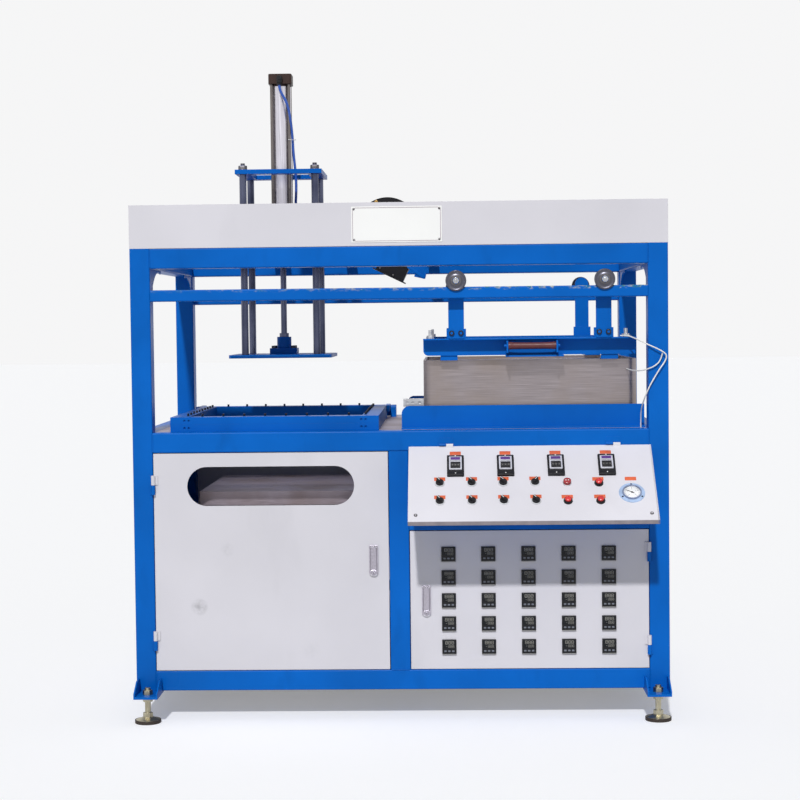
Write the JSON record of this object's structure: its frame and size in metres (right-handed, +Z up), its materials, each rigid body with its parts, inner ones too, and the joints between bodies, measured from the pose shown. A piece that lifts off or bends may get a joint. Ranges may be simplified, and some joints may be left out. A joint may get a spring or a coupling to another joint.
{
  "type": "vacuum forming machine",
  "caption": "Floor-standing vacuum forming machine: welded frame, clamp frame, sliding heater on tracks, air-driven plug press, lifting mould table and sloping control console.",
  "frame": {"origin": "on the floor, in the middle of the box around the machine", "axes": "+X to the machine's right as seen from the front, +Y to its rear, +Z up"},
  "size_m": [1.86, 1.4936, 2.298],
  "materials": {
    "aluminium": "milled",
    "black_paint": "satin",
    "black_plastic": "fine grain",
    "blue_paint": "gloss enamel",
    "ceramic": "ceramic",
    "chrome": "bright",
    "cylinder_metal": "drawn tube",
    "dark_steel": "oiled",
    "grey_paint": "smooth powder coat",
    "hose_blue": "soft hose",
    "lead_white": "silicone sleeve",
    "maroon_grip": "worn",
    "red_plastic": "gloss",
    "rubber": "matte",
    "stainless": "brushed stainless, heat stained",
    "tank_paint": "satin",
    "white_plate": "satin",
    "worn_steel": "worn, oily",
    "zinc_steel": "zinc plated"
  },
  "bodies": {
    "machine_frame": {"frame_posts": "blue_paint", "frame_rails": "blue_paint", "heater_tracks": "blue_paint", "cabinet_panels": "grey_paint", "fascia_panel": "grey_paint", "name_plate": "white_plate", "table_plate": "worn_steel", "foot_brackets": "blue_paint", "foot_studs": "zinc_steel", "foot_pads": "rubber", "heater_aprons": "blue_paint", "clamp_lower_frame": "blue_paint", "press_bridge": "blue_paint", "press_cylinder": "cylinder_metal", "air_hose": "hose_blue", "heater_leads": "lead_white", "blower_housing": "black_paint", "blower_bracket": "blue_paint", "vacuum_tank": "tank_paint", "vacuum_pump": "tank_paint", "lift_cylinder": "blue_paint", "electrics_board": "grey_paint", "console_box": "blue_paint", "hinge_pins": "blue_paint"},
    "blower_rotor": {"blower_wheel": "black_paint"},
    "press": {"press_platen": "blue_paint", "press_rods": "dark_steel", "guide_yoke": "blue_paint"},
    "mould_lift": {"mould_table": "worn_steel"},
    "clamp_upper": {"clamp_upper_frame": "blue_paint", "clamp_pins": "dark_steel"},
    "heater_carriage": {"heater_box": "stainless", "heater_elements": "ceramic", "carriage_rails": "blue_paint", "wheel_hangers": "blue_paint", "carriage_fittings": "aluminium"},
    "grip": {"handle_grip": "maroon_grip"},
    "wheel_front_left": {"wheel_front_left": "dark_steel"},
    "wheel_front_right": {"wheel_front_right": "dark_steel"},
    "wheel_rear_left": {"wheel_rear_left": "dark_steel"},
    "wheel_rear_right": {"wheel_rear_right": "dark_steel"},
    "lid": {"console_lid": "grey_paint", "console_instruments": "black_plastic"},
    "needle": {"gauge_needle": "black_plastic"},
    "left_door": {"left_door": "grey_paint"},
    "right_door": {"right_door": "grey_paint", "panel_meters": "black_plastic"},
    "left_lever": {"left_lock_lever": "chrome"},
    "right_lever": {"right_lock_lever": "chrome"},
    "selector_upper_1": {"selector_upper_1": "black_plastic"},
    "selector_upper_2": {"selector_upper_2": "black_plastic"},
    "selector_upper_3": {"selector_upper_3": "black_plastic"},
    "selector_upper_4": {"selector_upper_4": "black_plastic"},
    "selector_lower_1": {"selector_lower_1": "black_plastic"},
    "selector_lower_2": {"selector_lower_2": "black_plastic"},
    "selector_lower_3": {"selector_lower_3": "black_plastic"},
    "selector_lower_4": {"selector_lower_4": "black_plastic"},
    "push_button_1": {"push_button_1": "red_plastic"},
    "push_button_2": {"push_button_2": "red_plastic"},
    "push_button_3": {"push_button_3": "red_plastic"}
  },
  "joints": [
    {"name": "blower_spin", "type": "hinge", "parent": "machine_frame", "child": "blower_rotor", "pos_m": [-0.065, 0.00381, 1.727], "axis": [0, 1, 0], "continuous": true},
    {"name": "press_slide", "type": "slide", "parent": "machine_frame", "child": "press", "axis": [0, 0, 1], "range_m": [-0.17, 0.27]},
    {"name": "mould_lift_slide", "type": "slide", "parent": "machine_frame", "child": "mould_lift", "axis": [0, 0, 1], "range_m": [0, 0.215]},
    {"name": "clamp_hinge", "type": "hinge", "parent": "machine_frame", "child": "clamp_upper", "pos_m": [-0.44, 0.50681, 1.027], "axis": [1, 0, 0], "range_deg": [-30, 0]},
    {"name": "heater_slide", "type": "slide", "parent": "machine_frame", "child": "heater_carriage", "axis": [-1, 0, 0], "range_m": [0, 0.9]},
    {"name": "grip_spin", "type": "hinge", "parent": "heater_carriage", "child": "grip", "pos_m": [0.463, -0.43819, 1.291], "axis": [1, 0, 0], "continuous": true},
    {"name": "wheel_front_left_roll", "type": "hinge", "parent": "heater_carriage", "child": "wheel_front_left", "pos_m": [0.2, -0.46319, 1.518], "axis": [0, -1, 0], "range_deg": [0, 2460]},
    {"name": "wheel_front_right_roll", "type": "hinge", "parent": "heater_carriage", "child": "wheel_front_right", "pos_m": [0.712, -0.46319, 1.518], "axis": [0, -1, 0], "range_deg": [0, 2460]},
    {"name": "wheel_rear_left_roll", "type": "hinge", "parent": "heater_carriage", "child": "wheel_rear_left", "pos_m": [0.2, 0.61681, 1.518], "axis": [0, -1, 0], "range_deg": [0, 2460]},
    {"name": "wheel_rear_right_roll", "type": "hinge", "parent": "heater_carriage", "child": "wheel_rear_right", "pos_m": [0.712, 0.61681, 1.518], "axis": [0, -1, 0], "range_deg": [0, 2460]},
    {"name": "lid_hinge", "type": "hinge", "parent": "machine_frame", "child": "lid", "pos_m": [0.449, -0.48739, 0.951], "axis": [-1, 0, 0], "range_deg": [0, 70]},
    {"name": "needle_turn", "type": "hinge", "parent": "lid", "child": "needle", "pos_m": [0.784, -0.65882, 0.79859], "axis": [0, -0.6629, 0.7487], "range_deg": [-195, 75]},
    {"name": "selector_upper_1_turn", "type": "hinge", "parent": "lid", "child": "selector_upper_1", "pos_m": [0.138, -0.62263, 0.83465], "axis": [0, -0.6629, 0.7487], "range_deg": [-76, 0]},
    {"name": "selector_upper_2_turn", "type": "hinge", "parent": "lid", "child": "selector_upper_2", "pos_m": [0.246, -0.62263, 0.83465], "axis": [0, -0.6629, 0.7487], "range_deg": [-76, 0]},
    {"name": "selector_upper_3_turn", "type": "hinge", "parent": "lid", "child": "selector_upper_3", "pos_m": [0.353, -0.62263, 0.83465], "axis": [0, -0.6629, 0.7487], "range_deg": [-76, 0]},
    {"name": "selector_upper_4_turn", "type": "hinge", "parent": "lid", "child": "selector_upper_4", "pos_m": [0.461, -0.62263, 0.83465], "axis": [0, -0.6629, 0.7487], "range_deg": [0, 76]},
    {"name": "selector_lower_1_turn", "type": "hinge", "parent": "lid", "child": "selector_lower_1", "pos_m": [0.138, -0.68552, 0.77896], "axis": [0, -0.6629, 0.7487], "range_deg": [-76, 0]},
    {"name": "selector_lower_2_turn", "type": "hinge", "parent": "lid", "child": "selector_lower_2", "pos_m": [0.246, -0.68552, 0.77896], "axis": [0, -0.6629, 0.7487], "range_deg": [-76, 0]},
    {"name": "selector_lower_3_turn", "type": "hinge", "parent": "lid", "child": "selector_lower_3", "pos_m": [0.353, -0.68552, 0.77896], "axis": [0, -0.6629, 0.7487], "range_deg": [-76, 0]},
    {"name": "selector_lower_4_turn", "type": "hinge", "parent": "lid", "child": "selector_lower_4", "pos_m": [0.461, -0.68552, 0.77896], "axis": [0, -0.6629, 0.7487], "range_deg": [-76, 0]},
    {"name": "push_button_1_push", "type": "slide", "parent": "lid", "child": "push_button_1", "axis": [0, 0.6629, -0.7487], "range_m": [0, 0.0035], "stiffness_N_per_m": 300, "springref_m": -0.003},
    {"name": "push_button_2_push", "type": "slide", "parent": "lid", "child": "push_button_2", "axis": [0, 0.6629, -0.7487], "range_m": [0, 0.0035], "stiffness_N_per_m": 300, "springref_m": -0.003},
    {"name": "push_button_3_push", "type": "slide", "parent": "lid", "child": "push_button_3", "axis": [0, 0.6629, -0.7487], "range_m": [0, 0.0035], "stiffness_N_per_m": 300, "springref_m": -0.003},
    {"name": "left_door_hinge", "type": "hinge", "parent": "machine_frame", "child": "left_door", "pos_m": [-0.859, -0.49049, 0.5], "axis": [0, 0, -1], "range_deg": [0, 110]},
    {"name": "right_door_hinge", "type": "hinge", "parent": "machine_frame", "child": "right_door", "pos_m": [0.859, -0.49049, 0.4], "axis": [0, 0, 1], "range_deg": [0, 110]},
    {"name": "left_lever_pivot", "type": "hinge", "parent": "left_door", "child": "left_lever", "pos_m": [-0.095, -0.48769, 0.596], "axis": [-1, 0, 0], "range_deg": [0, 35]},
    {"name": "right_lever_pivot", "type": "hinge", "parent": "right_door", "child": "right_lever", "pos_m": [0.087, -0.48769, 0.454], "axis": [-1, 0, 0], "range_deg": [0, 35]}
  ],
  "couplings": [
    {"joint": "wheel_front_left_roll", "follows": "heater_slide", "rad_per_m": 47.619},
    {"joint": "wheel_front_right_roll", "follows": "heater_slide", "rad_per_m": 47.619},
    {"joint": "wheel_rear_left_roll", "follows": "heater_slide", "rad_per_m": 47.619},
    {"joint": "wheel_rear_right_roll", "follows": "heater_slide", "rad_per_m": 47.619}
  ]
}
